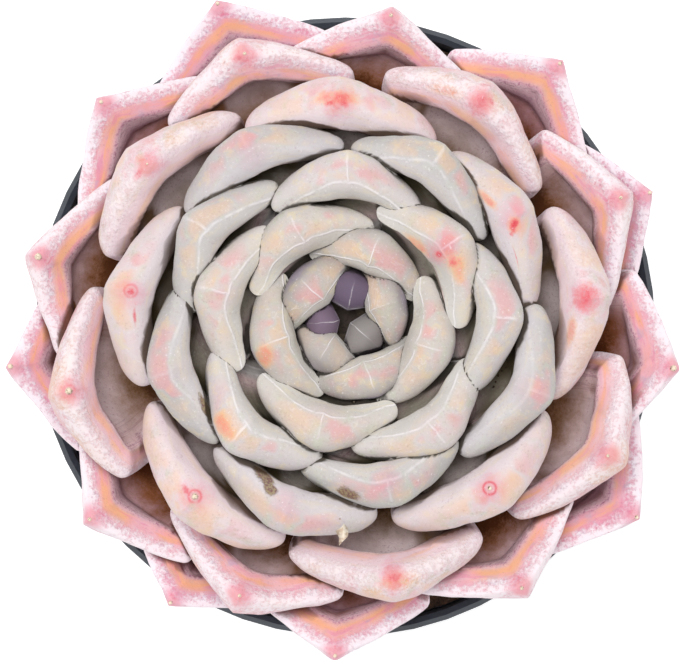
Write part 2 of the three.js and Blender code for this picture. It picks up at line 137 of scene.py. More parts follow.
# Marks on single leaves. Each is a place across the leaf and over its edge, on the back where
# that is above 0, and the mark's half length and half width, all in millimetres. Scars count
# their places from the margin in the leaf's plane, the other marks over the rounded edge.
SCARS = {
    19: [(-5.6, 1.2, 1.5, 0.9)],
    21: [(7, -1.2, 2.6, 0.7)],
    24: [(-4.4, -1.6, 1.7, 1.1), (-3.2, -0.6, 1.1, 0.6)],
}
RED_MARKS = {
    12: [(-0.1, -0.5, 0.7, 0.6), (-2.3, 0.3, 0.8, 0.7)],
    25: [(-0.8, 0, 0.7, 0.8), (-1.8, -0.6, 0.5, 0.7), (-5.4, -1.2, 2.1, 0.12)],
    26: [(0.2, 0, 0.7, 0.7), (3.6, -0.9, 1.7, 0.3)],
    28: [(-0.5, 0, 0.9, 0.6), (1.5, 0.2, 1, 0.5)],
    29: [(-1.6, 0.3, 0.9, 0.6)],
    30: [(0.4, 0, 1.2, 0.9)],
    31: [(2, 0, 1, 0.6)],
    32: [(0.5, 0, 1.3, 0.7)],
    33: [(0, 0, 0.9, 0.8), (-1.4, 1.2, 0.7, 0.6)],
    36: [(1.2, -0.3, 0.9, 0.6)],
}
WARM_MARKS = {
    8: [(1.4, 4.4, 2, 1.5)],
    12: [(-2.8, 0.6, 2.6, 1.5), (3, -2.8, 2.2, 1.2)],
    16: [(-2.4, 3, 2.6, 1.6)],
    25: [(4.4, -1.4, 2.2, 0.8), (-0.9, 0, 1.2, 1.2)],
    28: [(0.5, 1, 4, 1.2)],
    30: [(-4.5, -1.5, 2.6, 0.9)],
    32: [(1, 0.8, 3.6, 1.3)],
    33: [(5, -1, 2.8, 0.9)],
}
# How far a mark fades out, as a share of its half size.
MARK_EDGE = 1.5
# How clear the red ring round the tip is.
RINGS = {26: 0.5, 27: 0.8, 29: 0.7, 28: 0.4, 34: 0.4, 33: 0.4}
# How red the tip is, where a leaf departs from its form's value.
TIP_SPOTS = {
    12: 0.5, 19: 0.3, 25: 0.35, 26: 0.4, 27: 0.45, 28: 0.6, 29: 0.5, 30: 0.9, 32: 0.7, 33: 0.8,
}

# The fold line: how fast it slides down the inner face from near the tip, and how far at most, as
# a share of the bevel's width.
RIDGE_SLIDE = 0.25
RIDGE_START = 1.5
MOST_SLIDE = 0.8
# The value of the fold's field where a leaf has no fold.
NO_FOLD = -9

# The dry point at a leaf's tip: heights and radii, as shares of its size.
NUB_PROFILE = [(-0.5, 0.5), (0, 0.62), (0.35, 0.6), (0.7, 0.42), (0.9, 0.15)]
NUB_SIDES = 9
NUB_WOBBLE = 0.2
# Sizes in millimetres where a leaf's dry point stands out, or is missing.
NUBS = {
    25: 0, 26: 0, 27: 0.5, 28: 0, 29: 0.7, 30: 0, 32: 0, 33: 0, 34: 0.8, 39: 0.8, 43: 0.7, 47: 0.6,
}

# Feelers from each point of a leaf: how far they reach in millimetres on the heart's leaves and
# on the outer ones, and how they lean.
FEELER_REACH = (3, 10)
FEELER_LEAVES = (8, 36)
FEELER_LEANS = [(0, 0), (1, 0), (-0.5, 0.87), (-0.5, -0.87)]
FEELER_START = 0.05
FEELER_SIDE = (0.31, 0.87, 0.38)

# The leaves that cover a leaf are this many places further in on the spiral.
COVERING = (3, 5, 8, 13)
CONTACT_REACH = 3

# The colour of a leaf's back by its number, from the dusky heart to the pink outer leaves.
BODY = [
    (0, colour(126, 108, 126)), (1, colour(150, 145, 142)), (2, colour(108, 92, 116)),
    (3, colour(192, 186, 180)),
    (8, colour(204, 198, 192)), (13, colour(212, 204, 200)), (16, colour(212, 205, 206)),
    (19, colour(190, 188, 186)), (23, colour(194, 190, 190)), (26, colour(222, 208, 210)),
    (31, colour(232, 212, 216)), (36, colour(238, 204, 208)), (43, colour(238, 200, 212)),
    (51, colour(234, 194, 210)),
]
# The pale strip inside the margin.
STRIP = [
    (0, colour(136, 122, 138)), (3, colour(188, 186, 178)), (12, colour(204, 200, 194)),
    (18, colour(204, 200, 198)), (23, colour(212, 207, 210)), (28, colour(232, 216, 220)),
    (36, colour(236, 200, 206)), (44, colour(232, 184, 196)), (51, colour(224, 172, 190)),
]
# The hollow inner face below the strip, and the painted shade at its bottom.
HOLLOW = [
    (0, colour(100, 88, 100)), (10, colour(188, 184, 172)), (22, colour(176, 168, 152)),
    (29, colour(230, 214, 212)), (36, colour(228, 204, 206)), (43, colour(222, 182, 194)),
    (51, colour(208, 156, 174)),
]
DEPTH_SHADE = [
    (0, colour(56, 48, 54)), (10, colour(112, 106, 88)), (24, colour(96, 84, 54)),
    (31, colour(122, 92, 56)), (43, colour(140, 80, 34)), (51, colour(116, 62, 54)),
]
# Painted shade where leaves shut each other in, and far down in the hollows.
CREVICE_SHADE = [
    (0, colour(40, 32, 38)), (10, colour(58, 54, 44)), (22, colour(60, 50, 36)),
    (31, colour(84, 54, 30)), (43, colour(96, 48, 20)), (51, colour(96, 44, 40)),
]
PALE = colour(248, 243, 246)
LILAC = colour(184, 174, 196)
CREAM = colour(232, 214, 166)
GREEN = colour(196, 204, 178)
PEACH = colour(238, 190, 150)
BLUSH = colour(232, 160, 162)
SALMON = colour(240, 142, 112)
ROSE = colour(240, 156, 142)
AMBER = colour(244, 176, 108)
CRIMSON = colour(214, 40, 66)
MAGENTA = colour(224, 104, 142)
TIP_RED = colour(226, 76, 92)
MAUVE = colour(150, 96, 122)
FROST = colour(252, 246, 250)
DUSK_SHADE = colour(98, 84, 98)
PLUM = colour(176, 92, 132)
WALL_LIGHT = colour(238, 204, 206)
DRY_CREAM = colour(246, 230, 206)
DRY_BROWN = colour(112, 66, 42)
SCAR_BROWN = colour(104, 52, 40)
SCAR_OLIVE = colour(150, 132, 92)
LEAF_ROUGHNESS = 0.62
LEAF_GLOSS = 0.15

POT_DARK = colour(54, 59, 67)
POT_LIGHT = colour(70, 76, 84)
SOIL_DARK = colour(46, 33, 24)
SOIL_BROWN = colour(92, 68, 48)
SOIL_GRIT = colour(168, 152, 130)
BARK_LIGHT = colour(112, 98, 80)
BARK_DARK = colour(58, 46, 38)
SHRED_TAN = colour(204, 180, 156)
SHRED_PALE = colour(238, 226, 208)
FLOOR_WHITE = colour(250, 250, 250)
FLOOR_SHADE = colour(246, 246, 247)
FLOOR_GLOW = 0.5

# How far apart the rings of the stem are, in millimetres.
BARK_RING = 2.2

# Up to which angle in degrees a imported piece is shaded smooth.
POT_CREASE = 30
SOIL_CREASE = 30
STEM_CREASE = 50

SEED = 7

# Loose grains on the soil, round the stem and out to the pot's wall.
GRAIN_COUNT = 900
GRAIN_SIZES = (0.5, 1.7)
GRAINS_FROM = STEM_RADIUS + 2
GRAINS_TO = RIM_RADIUS - 3.5
GRAIN_UNEVENNESS = (0.6, 1)
GRAIN_FLATNESS = 0.75
GRAIN_LIFT = 0.3
GRAIN_FORM = [(1, 0, 0), (-1, 0, 0), (0, 1, 0), (0, -1, 0), (0, 0, 1), (0, 0, -1)]
GRAIN_FACES = [
    (0, 2, 4), (2, 1, 4), (1, 3, 4), (3, 0, 4), (2, 0, 5), (1, 2, 5), (3, 1, 5), (0, 3, 5),
]

# Crumbs that have dropped onto the leaves: their places seen from above and their sizes.
CRUMBS = [
    (1.2, -12, 0.75), (21.7, -9.8, 0.3), (22, -9, 0.26), (22.4, -8.1, 0.3), (22.9, -7.4, 0.24),
    (23.5, -6.9, 0.22),
]
# The height above all leaves from which the crumbs and the shred drop.
DROP_HEIGHT = 150

# The curled shred of dry skin: its place, its form in millimetres, and how narrow and torn it is.
SHRED_PLACE = (-0.7, -30.6)
SHRED_LENGTH = 3.4
SHRED_WIDTH = 1.6
SHRED_THICKNESS = 0.16
SHRED_LIFT = 0.5
SHRED_CURL = 1.1
SHRED_SWAY = 0.4
SHRED_SKEW = 0.3
SHRED_ENDS = 0.35
SHRED_TEAR = (0.75, 1.1)
SHRED_STEPS = 9

# The floor and the lamp in metres, and the camera in millimetres.
FLOOR_SIZE = 3
KEY_PLACE = (-0.1, 0.14, 1.15)
KEY_SIZE = 0.45
KEY_POWER = 7
LIGHT_AIM = (0, 0, 0.09)
WORLD_LIGHT = 0.6
CAMERA_TILT = math.radians(1.5)
CAMERA_DISTANCE = 450
CAMERA_TARGET = (-0.9, -1.2, 107)
MM_PER_PIXEL = 0.149
IMAGE_WIDTH = 679
SENSOR_WIDTH = 36
CLIP_START = 10


def value_at(key, n):
    return float(np.interp(n, LEAF_FORM["number"], LEAF_FORM[key]))


def leaf_seat(n, seat_angle):
    turn = math.radians(DOME_TOP_TURN * max(DOME_LEAVES - n, 0) / DOME_LEAVES)
    below = min(DOME_LEAVES - n, 0) * RISE_PER_LEAF
    slope = math.radians(seat_angle)
    return np.array([
        STEM_RADIUS * math.cos(turn) + SEAT_CLEARANCE * math.cos(slope),
        DOME_BASE + DOME_HEIGHT * math.sin(turn) + below + SEAT_CLEARANCE * math.sin(slope),
    ])


def direction(degrees):
    return np.array([math.cos(math.radians(degrees)), math.sin(math.radians(degrees))])


class Leaf:
    """A leaf's form, its midrib and the grid of its two faces, in millimetres."""

    def __init__(self, n):
        self.n = n
        for key in LEAF_FORM:
            setattr(self, key, value_at(key, n))
        self.azimuth = math.radians(FIRST_AZIMUTH + TURN_PER_LEAF * n + TURNED.get(n, 0))
        self.tip_radius += REACH.get(n, 0)
        self.lean = math.tan(math.radians(self.skew))
        self.make_midrib()
        self.make_faces()

    def make_midrib(self):
        seat = leaf_seat(self.n, self.seat_angle)
        tip = np.array([self.tip_radius, LOWEST_LEAF + self.tip_height])
        span = np.linalg.norm(tip - seat)
        near_seat = seat + direction(self.seat_angle) * SEAT_PULL * span
        near_tip = tip - direction(self.tip_angle) * self.tip_pull * span
        t = np.linspace(0, 1, MIDRIB_SAMPLES)[:, None]
        points = (
            seat * (1 - t) ** 3 + 3 * near_seat * t * (1 - t) ** 2
            + 3 * near_tip * t ** 2 * (1 - t) + tip * t ** 3
        )
        ahead = (
            3 * (near_seat - seat) * (1 - t) ** 2 + 6 * (near_tip - near_seat) * t * (1 - t)
            + 3 * (tip - near_tip) * t ** 2
        )
        along = np.concatenate([[0], np.cumsum(np.linalg.norm(np.diff(points, axis=0), axis=1))])
        self.length = along[-1]
        self.shares = np.linspace(0, 1, STATIONS + 1)
        places = self.shares * self.length
        slope = np.unwrap(np.arctan2(ahead[:, 1], ahead[:, 0]))
        self.line_u = np.interp(places, along, points[:, 0])
        self.line_z = np.interp(places, along, points[:, 1])
        self.line_slope = np.interp(places, along, slope)

    def half_width(self, share):
        half = self.width / 2
        base = min(MOST_BASE, LEAST_BASE + BASE_TAPER * half)
        below = np.clip(share / self.widest, 0, 1)
        flank = base + (half - base) * np.sin(below * math.pi / 2) ** FLANK_POWER
        up = np.clip((share - self.widest) / (1 - self.widest), 0, 1)
        return np.where(share < self.widest, flank, half * (1 - up ** self.tip_power))

    def from_margin(self, share, x):
        lower = np.maximum(share - TAPER_STEP, 0)
        upper = np.minimum(share + TAPER_STEP, 1)
        taper = (self.half_width(upper) - self.half_width(lower)) / ((upper - lower) * self.length)
        return (self.half_width(share) - np.abs(x)) / np.hypot(1, taper)

    def make_faces(self):
        share = row_shares()[:, None]
        half = self.half_width(share)
        self.x = half * column_shares()[None, :]
        self.share = share + 0 * self.x
        self.margin = self.from_margin(share, self.x)
        bevel = self.margin / self.bevel_width
        across = np.clip(np.abs(self.x) / np.maximum(half, TINY), 0, 1)
        thin = np.minimum(BASE_THINNESS + THICKENING * share, 1)
        keel = self.keel_round * self.width
        middle = self.cup * (np.hypot(self.x, keel) - keel)
        inside = np.clip((bevel - 1) / HOLLOW_REACH, 0, 1)
        hollow = self.hollow * thin * inside ** 2 * (3 - 2 * inside)
        lift = self.facet * np.clip(bevel, 0, 1) + (1 - self.facet) * round_up(bevel)
        back = round_up(self.margin / self.edge) * (1 - self.back_round * across ** BACK_POWER)
        self.middle = middle
        self.inner = middle + self.bevel_rise * thin * lift - hollow
        self.outer = middle - (self.thickness - self.bevel_rise) * thin * back

    def point(self, share, x, height):
        """Points in space, from places along and across the leaf and heights above the midrib."""
        u = np.interp(share, self.shares, self.line_u)
        z = np.interp(share, self.shares, self.line_z)
        slope = np.interp(share, self.shares, self.line_slope)
        out = u - height * np.sin(slope) + x * self.lean
        turn = self.azimuth
        return np.stack([
            out * math.cos(turn) - x * math.sin(turn),
            out * math.sin(turn) + x * math.cos(turn),
            z + height * np.cos(slope),
        ], -1)


def row_shares():
    return 1 - (1 - np.arange(ROWS + 1) / ROWS) ** ROW_POWER


def column_shares():
    return np.sin((2 * np.arange(COLUMNS + 1) / COLUMNS - 1) * math.pi / 2)


def round_up(share):
    return np.sqrt(1 - (1 - np.clip(share, 0, 1)) ** 2)


def lumps(points, chance):
    """How far the skin swells at each point."""
    rise = np.zeros(points.shape[:-1])
    for step, (length, height) in enumerate(LUMPS):
        turn = LUMP_TURN * step + CHANCE_TURN * chance
        along = np.array([math.cos(turn), math.sin(turn), math.cos(LUMP_DIPS[0] * turn)])
        across = np.array([-math.sin(turn), math.cos(turn), math.sin(LUMP_DIPS[1] * turn)])
        wave = np.sin(points @ along * math.tau / length + CHANCE_SHIFT * chance)
        rise += height * wave * np.cos(points @ across * math.tau / (LUMP_STRETCH * length))
    return rise


def mark_field(marks, leaf, over):
    """Rises from 0 outside the leaf's marks to 1 in their middles."""
    rise = np.zeros_like(over)
    for across, from_edge, long, wide in marks.get(leaf.n, []):
        off = np.hypot((leaf.x - across) / long, (over - from_edge) / wide)
        rise = np.maximum(rise, np.clip(MARK_EDGE - off, 0, 1))
    return rise


def ring_rows(inner, outer, tip):
    """Values on both faces, in the order of the mesh's points: ring by ring, then the tip."""
    rings = np.concatenate([inner[:-1], outer[:-1, -2:0:-1]], axis=1)
    return np.concatenate([rings.reshape(-1, *rings.shape[2:]), tip])


def leaf_mesh(leaf, chance):
    """The closed skin of a leaf, and the fields that its material reads."""
    ripple = lumps(leaf.point(leaf.share, leaf.x, 0 * leaf.x), chance)
    inner = leaf.point(leaf.share, leaf.x, leaf.inner + ripple)
    outer = leaf.point(leaf.share, leaf.x, leaf.outer + ripple)
    tip = inner[-1:, COLUMNS // 2]
    points = ring_rows(inner, outer, tip)
    around = 2 * COLUMNS
    faces = []
    for i in range(ROWS - 1):
        for k in range(around):
            a = i * around + k
            b = i * around + (k + 1) % around
            faces.append((a, a + around, b + around, b))
    last = (ROWS - 1) * around
    for k in range(around):
        faces.append((last + k, len(points) - 1, last + (k + 1) % around))
    faces.append(tuple(range(around)))
    zero = np.zeros(1)
    fields = {
        "rim": ring_rows(-leaf.margin, leaf.margin, zero),
        "across": ring_rows(leaf.x, leaf.x, zero),
        "fold": ring_rows(leaf.margin - leaf.bevel_width, 0 * leaf.margin + NO_FOLD, zero + NO_FOLD),
        "tip": np.linalg.norm(points - tip, axis=1),
        "dry": np.zeros(len(points)),
    }
    over_inner = -np.hypot(leaf.margin, leaf.inner - leaf.middle)
    over_outer = np.hypot(leaf.margin, leaf.outer - leaf.middle)
    for name, marks, inner_way, outer_way in (
        ("scar", SCARS, -leaf.margin, leaf.margin),
        ("red", RED_MARKS, over_inner, over_outer),
        ("warm", WARM_MARKS, over_inner, over_outer),
    ):
        inside = mark_field(marks, leaf, inner_way)
        fields[name] = ring_rows(inside, mark_field(marks, leaf, outer_way), inside[-1, :1])
    # The fold line: behind the margin on the heart's leaves, and on the others down the inner
    # face, further from the margin towards the leaf's sides.
    slide = RIDGE_SLIDE * np.maximum(fields["tip"] - RIDGE_START, 0)
    slide = np.minimum(slide, MOST_SLIDE * leaf.bevel_width)
    fields["ridge"] = ring_rows(over_inner, over_outer, zero) - leaf.ridge + slide
    size = NUBS.get(leaf.n, value_at("nub", leaf.n))
    if size > 0:
        points, faces, fields = add_nub(leaf, size, points, faces, fields)
    fields["age"] = np.full(len(points), leaf.n / LEAF_COUNT)
    fields["spot"] = np.full(len(points), TIP_SPOTS.get(leaf.n, value_at("spot", leaf.n)))
    fields["ring"] = np.full(len(points), RINGS.get(leaf.n, 0.0))
    return points, faces, fields


def add_nub(leaf, size, points, faces, fields):
    """Adds a small lumpy cone of a size at the tip, the last of a leaf's points."""
    slope = math.radians(leaf.tip_angle)
    away = np.array([math.cos(leaf.azimuth), math.sin(leaf.azimuth), 0])
    ahead = away * math.cos(slope) + np.array([0, 0, math.sin(slope)])
    side = np.array([-away[1], away[0], 0])
    up = np.cross(ahead, side)
    first = len(points)
    extra = []
    for step, (height, radius) in enumerate(NUB_PROFILE):
        for k in range(NUB_SIDES):
            turn = math.tau * k / NUB_SIDES
            wobble = radius * (1 + NUB_WOBBLE * math.sin(3 * turn + leaf.n + 2 * step))
            spread = side * math.cos(turn) + up * math.sin(turn)
            extra.append(points[first - 1] + size * (spread * wobble + ahead * height))
    for step in range(len(NUB_PROFILE) - 1):
        for k in range(NUB_SIDES):
            a = first + step * NUB_SIDES + k
            b = first + step * NUB_SIDES + (k + 1) % NUB_SIDES
            faces.append((a, b, b + NUB_SIDES, a + NUB_SIDES))
    top = first + (len(NUB_PROFILE) - 1) * NUB_SIDES
    faces.append(tuple(first + k for k in reversed(range(NUB_SIDES))))
    faces.append(tuple(top + k for k in range(NUB_SIDES)))
    for name in fields:
        fields[name] = np.concatenate([fields[name], np.zeros(len(extra))])
    fields["dry"][first:] = 1
    return np.concatenate([points, extra]), faces, fields


def new_object(name, points, faces, material, fields=None):
    mesh = bpy.data.meshes.new(name)
    mesh.from_pydata((np.asarray(points) * MM).tolist(), [], faces)
    for field, values in (fields or {}).items():
        mesh.attributes.new(field, "FLOAT", "POINT").data.foreach_set("value", values)
    mesh.materials.append(material)
    mesh.shade_smooth()
    piece = bpy.data.objects.new(name, mesh)
    bpy.context.scene.collection.objects.link(piece)
    return piece


def cover_field(piece, n, tree, owners):
    """How shut in each point of a leaf is by the other leaves round it, from 0 to 1."""
    reach = float(np.interp(n, FEELER_LEAVES, FEELER_REACH))
    mesh = piece.data
    count = len(mesh.vertices)
    places = np.empty(3 * count, np.float32)
    normals = np.empty(3 * count, np.float32)
    mesh.vertices.foreach_get("co", places)
    mesh.vertex_normals.foreach_get("vector", normals)
    places = places.reshape(-1, 3) / MM
    normals = normals.reshape(-1, 3)
    side = np.cross(normals, FEELER_SIDE)
    side /= np.maximum(np.linalg.norm(side, axis=1, keepdims=True), TINY)
    third = np.cross(normals, side)
    starts = (places + FEELER_START * normals).tolist()
    cover = np.zeros(count)
    for across, over in FEELER_LEANS:
        ways = normals + across * side + over * third
        ways /= np.linalg.norm(ways, axis=1, keepdims=True)
        for k, (start, way) in enumerate(zip(starts, ways.tolist())):
            face, far = tree.ray_cast(start, way, reach)[2:]
            if face is not None and owners[face] != n:
                cover[k] += (1 - far / reach) / len(FEELER_LEANS)
    mesh.attributes.new("cover", "FLOAT", "POINT").data.foreach_set("value", cover.astype(np.float32))


def contact_field(piece, n, trees):
    """How near each point is to the leaves that cover its own: 1 where they touch."""
    mesh = piece.data
    near = np.zeros(len(mesh.vertices), np.float32)
    covering = [trees[n - step] for step in COVERING if n >= step]
    for k, vertex in enumerate(mesh.vertices):
        place = vertex.co / MM
        for tree in covering:
            far = tree.find_nearest(place, CONTACT_REACH)[3]
            if far is not None:
                near[k] = max(near[k], 1 - far / CONTACT_REACH)
    mesh.attributes.new("near", "FLOAT", "POINT").data.foreach_set("value", near)


class Paint:
    """Adds nodes to one material and links them."""

    def __init__(self, name):
        self.material = bpy.data.materials.new(name)
        self.material.use_nodes = True
        self.tree = self.material.node_tree
        self.shader = self.tree.nodes["Principled BSDF"]
        self.place = self.node("ShaderNodeTexCoord").outputs["Object"]

    def node(self, kind, **settings):
        node = self.tree.nodes.new(kind)
        for key, value in settings.items():
            setattr(node, key, value)
        return node

    def put(self, socket, value):
        if isinstance(value, bpy.types.NodeSocket):
            self.tree.links.new(value, socket)
        else:
            socket.default_value = value

    def field(self, name):
        return self.node("ShaderNodeAttribute", attribute_name=name).outputs["Fac"]

    def math(self, operation, first, second=0.0):
        node = self.node("ShaderNodeMath", operation=operation)
        self.put(node.inputs[0], first)
        self.put(node.inputs[1], second)
        return node.outputs[0]

    def add(self, *values):
        total = values[0]
        for value in values[1:]:
            total = self.math("ADD", total, value)
        return total

    def rest(self, share):
        return self.math("SUBTRACT", 1.0, share)

    def times(self, *values):
        product = values[0]
        for value in values[1:]:
            product = self.math("MULTIPLY", product, value)
        return product

    def step(self, value, low, high):
        """Rises smoothly from 0 at low to 1 at high, or falls where high is the smaller."""
        node = self.node("ShaderNodeMapRange", interpolation_type="SMOOTHSTEP")
        self.put(node.inputs["Value"], value)
        self.put(node.inputs["From Min"], low)
        self.put(node.inputs["From Max"], high)
        return node.outputs["Result"]

    def band(self, value, middle, half):
        """1 at the middle, and 0 from half a width away."""
        off = self.math("ABSOLUTE", self.math("SUBTRACT", value, middle))
        return self.step(off, half, 0)

    def noise(self, size, detail=2, roughness=0.5):
        """Clouds with swellings about size millimetres apart, around 0.5."""
        node = self.node("ShaderNodeTexNoise")
        self.put(node.inputs["Vector"], self.place)
        self.put(node.inputs["Scale"], 1 / (size * MM))
        self.put(node.inputs["Detail"], detail)
        self.put(node.inputs["Roughness"], roughness)
        return node.outputs["Fac"]

    def streaks(self, along, over, detail=2):
        """Clouds drawn out along the margin: their sizes along and over it, in millimetres."""
        place = self.node("ShaderNodeCombineXYZ")
        self.put(place.inputs[0], self.math("DIVIDE", self.field("across"), along))
        self.put(place.inputs[1], self.math("DIVIDE", self.field("rim"), over))
        self.put(place.inputs[2], self.math("MULTIPLY", self.field("age"), 97.0))
        node = self.node("ShaderNodeTexNoise")
        self.put(node.inputs["Vector"], place.outputs[0])
        self.put(node.inputs["Scale"], 1.0)
        self.put(node.inputs["Detail"], detail)
        self.put(node.inputs["Roughness"], 0.6)
        return node.outputs["Fac"]

    def cells(self, size):
        """The distance from the middles of cells about size millimetres across."""
        node = self.node("ShaderNodeTexVoronoi")
        self.put(node.inputs["Vector"], self.place)
        self.put(node.inputs["Scale"], 1 / (size * MM))
        return node.outputs["Distance"]

    def mix(self, share, first, second):
        node = self.node("ShaderNodeMix", data_type="RGBA")
        self.put(node.inputs[0], share)
        self.put(node.inputs[6], first)
        self.put(node.inputs[7], second)
        return node.outputs[2]

    def tint(self, tone, other, strength, *where):
        """Moves a tone towards another one, as far as the strength and all the shares say."""
        return self.mix(self.times(*where, strength), tone, other)

    def ramp(self, value, stops):
        node = self.node("ShaderNodeValToRGB")
        self.put(node.inputs["Fac"], value)
        ramp = node.color_ramp
        for place, tone in stops[1:-1]:
            ramp.elements.new(place).color = tone
        ramp.elements[0].position = stops[0][0]
        ramp.elements[0].color = stops[0][1]
        ramp.elements[-1].position = stops[-1][0]
        ramp.elements[-1].color = stops[-1][1]
        return node.outputs["Color"]

    def bump(self, height, depth, strength=1.0):
        """Relief of a depth in millimetres."""
        node = self.node("ShaderNodeBump")
        self.put(node.inputs["Height"], height)
        self.put(node.inputs["Distance"], depth * MM)
        self.put(node.inputs["Strength"], strength)
        self.put(self.shader.inputs["Normal"], node.outputs["Normal"])


def by_leaf(stops):
    return [(number / LEAF_COUNT, tone) for number, tone in stops]


class LeafPaint(Paint):
    """The skin of all the leaves. Clouds run round 0.5, and distances are in millimetres."""

    def __init__(self):
        super().__init__("leaf_skin")
        self.age = self.field("age")
        self.rim = self.field("rim")
        self.inward = self.math("MULTIPLY", self.rim, -1.0)
        self.ridge = self.field("ridge")
        self.tip = self.field("tip")
        self.make_clouds()
        self.young = self.by_number(26, 17)
        self.old = self.by_number(31, 38)
        self.awake = self.by_number(2, 4)
        self.grown = self.by_number(12, 20)
        self.mild = self.times(self.awake, self.rest(self.old))
        self.near_ridge = self.times(
            self.step(self.ridge, 0.1, 0.9), self.step(self.ridge, 5.5, 2.2),
            self.step(self.tip, 10, 4),
        )
        self.shut = self.add(self.field("cover"), self.times(self.flicker, 0.06))
        self.floor = self.step(self.inward, 4, 8)
        self.sunk = self.math(
            "SUBTRACT", self.add(self.tip, self.times(self.wander, 5), self.times(self.flicker, 3)),
            self.times(self.by_number(42, 30), 4.5),
        )

    def make_clouds(self):
        self.broad = self.noise(6, 2)
        self.patches = self.noise(2.6, 3, 0.62)
        self.fine = self.noise(0.42, 2, 0.75)
        self.drawn = self.streaks(5, 0.9, 3)
        self.sway = self.math("SUBTRACT", self.broad, 0.5)
        self.wander = self.math("SUBTRACT", self.patches, 0.5)
        self.flicker = self.math("SUBTRACT", self.fine, 0.5)
        self.ragged = self.add(self.times(self.wander, 1.3), self.times(self.flicker, 0.7))

    def by_number(self, none, full):
        """Sets in from one leaf number to another."""
        return self.step(self.age, none / LEAF_COUNT, full / LEAF_COUNT)

    def back(self):
        """Clouds of cream, green-grey, peach and pink, painted shade in lilac where the back rolls off,
        and painted shade towards the base of the heart's leaves.
        """
        tone = self.ramp(self.age, by_leaf(BODY))
        tone = self.tint(tone, GREEN, 0.45, self.step(self.patches, 0.5, 0.3), self.mild)
        tone = self.tint(tone, CREAM, 0.4, self.step(self.patches, 0.52, 0.68), self.mild)
        ridge = self.times(self.near_ridge, self.mild)
        tone = self.tint(tone, PEACH, 0.42, ridge, self.step(self.broad, 0.47, 0.6))
        tone = self.tint(tone, BLUSH, 0.55, ridge, self.step(self.broad, 0.5, 0.38))
        glow = self.band(self.age, 33 / LEAF_COUNT, 12 / LEAF_COUNT)
        glow = self.times(glow, self.step(self.rim, 6, 1))
        tone = self.tint(tone, PEACH, 0.5, glow, self.step(self.broad, 0.46, 0.6))
        tone = self.tint(tone, BLUSH, 0.4, glow, self.step(self.broad, 0.48, 0.36))
        # Painted shade: a darker lilac where the back rolls off.
        tone = self.tint(tone, LILAC, 0.7, self.step(self.rim, 3, 6.5), self.awake)
        # Painted shade towards the base of the heart's leaves, away from their tips.
        return self.tint(tone, DUSK_SHADE, 0.6, self.by_number(10, 3), self.step(self.tip, 3, 8))

    def strip(self):
        """The pale strip inside the margin, with a salmon crease on old leaves."""
        tone = self.ramp(self.age, by_leaf(STRIP))
        tone = self.tint(tone, CREAM, 0.22, self.step(self.drawn, 0.48, 0.66), self.mild)
        tone = self.tint(tone, MAGENTA, 0.4, self.step(self.drawn, 0.48, 0.36), self.old)
        tone = self.tint(tone, LILAC, 0.5, self.step(self.patches, 0.52, 0.66), self.old)
        place = self.times(self.math("SUBTRACT", self.drawn, 0.5), 1.6)
        place = self.add(self.inward, place)
        crease = self.times(self.band(place, 2.7, 1.7), self.by_number(27, 36))
        mottle = self.add(self.times(self.broad, 0.55), self.times(self.drawn, 0.45))
        ember = self.mix(self.step(mottle, 0.46, 0.58), ROSE, AMBER)
        return self.tint(tone, ember, 0.72, crease, self.step(mottle, 0.36, 0.54))

    def hollow(self):
        """The inner face below the strip: mauve wrinkles, painted light on the steep wall under the
        strip, and painted shade far down towards the leaf's base and where other leaves shut it in.
        """
        tone = self.ramp(self.age, by_leaf(HOLLOW))
        ridges = self.times(self.step(self.drawn, 0.5, 0.38), self.step(self.inward, 8, 3))
        tone = self.tint(tone, MAUVE, 0.2, ridges, self.old)
        # Painted light: the steep wall just under the strip is made paler.
        tone = self.tint(tone, WALL_LIGHT, 0.6, self.step(self.inward, 9, 4.5))
        wrinkles = self.times(self.band(self.drawn, 0.5, 0.04), self.step(self.inward, 11, 4))
        tone = self.tint(tone, MAUVE, 0.5, wrinkles, self.grown)
        tone = self.tint(tone, PALE, 0.4, self.step(self.fine, 0.54, 0.74))
        tone = self.tint(tone, MAUVE, 0.35, self.step(self.fine, 0.46, 0.3))
        # Painted shade: darker far down the hollow and where other leaves shut it in.
        deep_shade = self.math("MAXIMUM", self.step(self.sunk, 7.5, 15), self.step(self.shut, 0.1, 0.35))
        deep_shade = self.times(deep_shade, self.floor, self.add(0.4, self.times(self.grown, 0.56)))
        return self.mix(deep_shade, tone, self.ramp(self.age, by_leaf(DEPTH_SHADE)))

    def both_faces(self):
        inner = self.mix(self.step(self.inward, 3, 4.8), self.strip(), self.hollow())
        dots = self.times(self.band(self.inward, 4.1, 0.9), self.step(self.fine, 0.5, 0.36))
        inner = self.tint(inner, PLUM, 0.6, dots, self.old)
        return self.mix(self.step(self.rim, -0.5, 0.3), inner, self.back())

    def raised_lines(self):
        """The fold along the margin, the keel, and faint veins, all on young leaves."""
        thin = self.add(self.times(self.age, 0.9), 0.11)
        fold_line = self.band(self.add(self.ridge, self.times(self.sway, 0.6)), 0.05, thin)
        keel = self.add(self.field("across"), self.times(self.sway, 1.6))
        keel_line = self.times(
            self.band(keel, 0.0, thin), self.step(self.ridge, -0.1, 0.3),
            self.step(self.ridge, 6, 2.5),
        )
        veins = self.times(self.band(self.drawn, 0.5, 0.025), self.near_ridge, self.awake, 0.3)
        lines = self.math("MAXIMUM", fold_line, self.math("MAXIMUM", keel_line, veins))
        return self.times(lines, self.young, self.step(self.patches, 0.28, 0.62))

